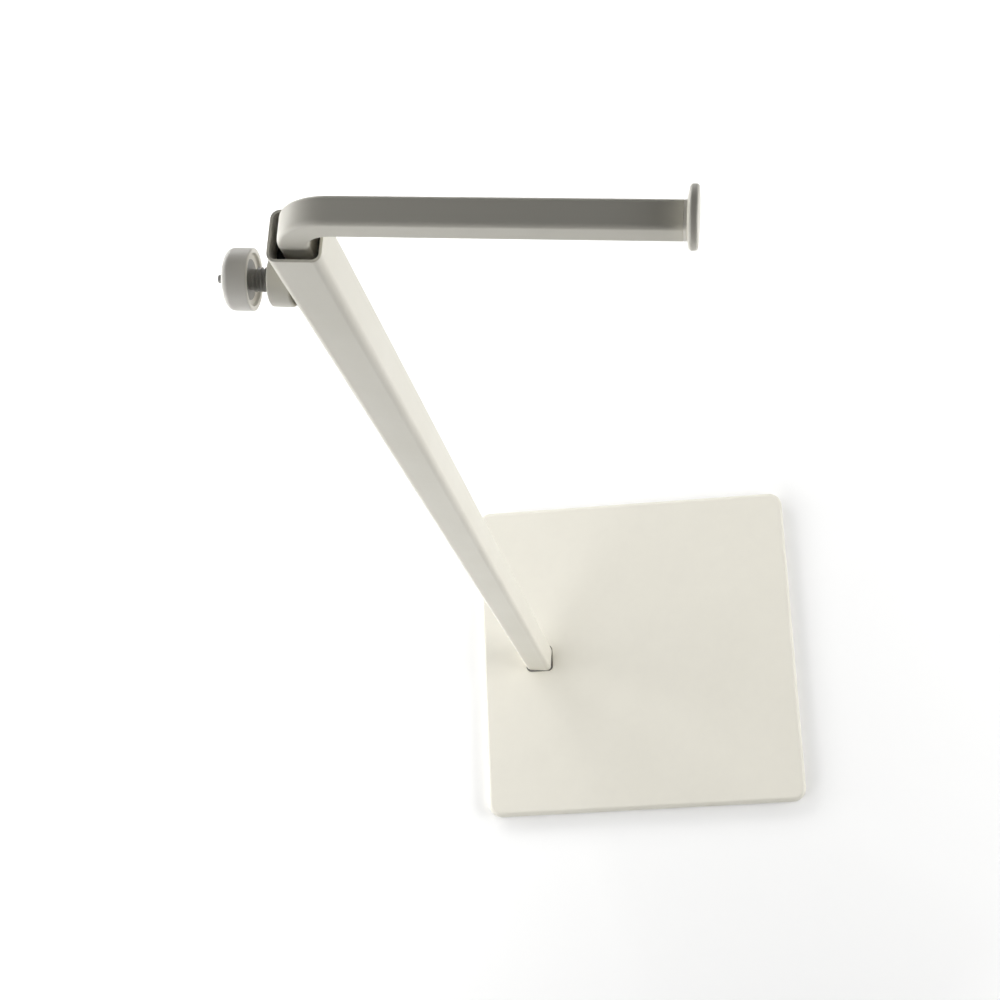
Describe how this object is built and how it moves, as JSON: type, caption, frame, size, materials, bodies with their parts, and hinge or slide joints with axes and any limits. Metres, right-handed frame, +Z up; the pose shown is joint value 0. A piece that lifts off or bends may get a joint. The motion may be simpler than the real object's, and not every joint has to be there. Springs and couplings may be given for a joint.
{
  "type": "paper roll holder",
  "caption": "Free-standing paper roll holder: square weighted base, square post, and a height-adjustable bent arm with an end disc, locked by a clamp knob.",
  "frame": {"origin": "on the floor under the middle of the square base", "axes": "+Z up along the post, +X along the roll arm away from the post, +Y to the back"},
  "size_m": [0.241, 0.241, 0.7397],
  "materials": {
    "powder_coat": "satin warm white powder coat on steel",
    "knob_plastic": "satin moulded plastic, warm white",
    "white_nylon": "natural white nylon",
    "black_nylon": "black nylon",
    "black_steel": "black oxide steel",
    "zinc_steel": "zinc plated steel",
    "steel": "plain oiled steel",
    "rubber_sheet": "black textured rubber"
  },
  "bodies": {
    "stand": {"base_cover": "powder_coat", "base_weight": "steel", "anti_slip_sheet": "rubber_sheet", "base_screw": "zinc_steel", "post_tube": "powder_coat", "foot_block": "steel", "block_rivets": "zinc_steel", "guide_bush": "black_nylon", "clamp_boss": "powder_coat"},
    "arm": {"arm_tube": "powder_coat", "leg_slider": "black_nylon", "slider_screw": "zinc_steel", "end_insert": "steel", "end_washer": "white_nylon", "end_disc": "powder_coat"},
    "clamp_carrier": {"pressure_pad": "white_nylon"},
    "knob": {"clamp_screw": "black_steel", "knob_body": "knob_plastic", "knob_insert": "black_steel"}
  },
  "joints": [
    {"name": "arm_height", "type": "slide", "parent": "stand", "child": "arm", "axis": [0, 0, 1], "range_m": [-0.006, 0.22]},
    {"name": "clamp_travel", "type": "slide", "parent": "stand", "child": "clamp_carrier", "axis": [-1, 0, 0], "range_m": [0, 0.0025]},
    {"name": "knob_turn", "type": "hinge", "parent": "clamp_carrier", "child": "knob", "pos_m": [-0.0842, -0.0076, 0.6812], "axis": [-1, 0, 0], "range_deg": [0, 720.5]}
  ],
  "couplings": [
    {"joint": "knob_turn", "follows": "clamp_travel", "rad_per_m": 5026.5}
  ]
}
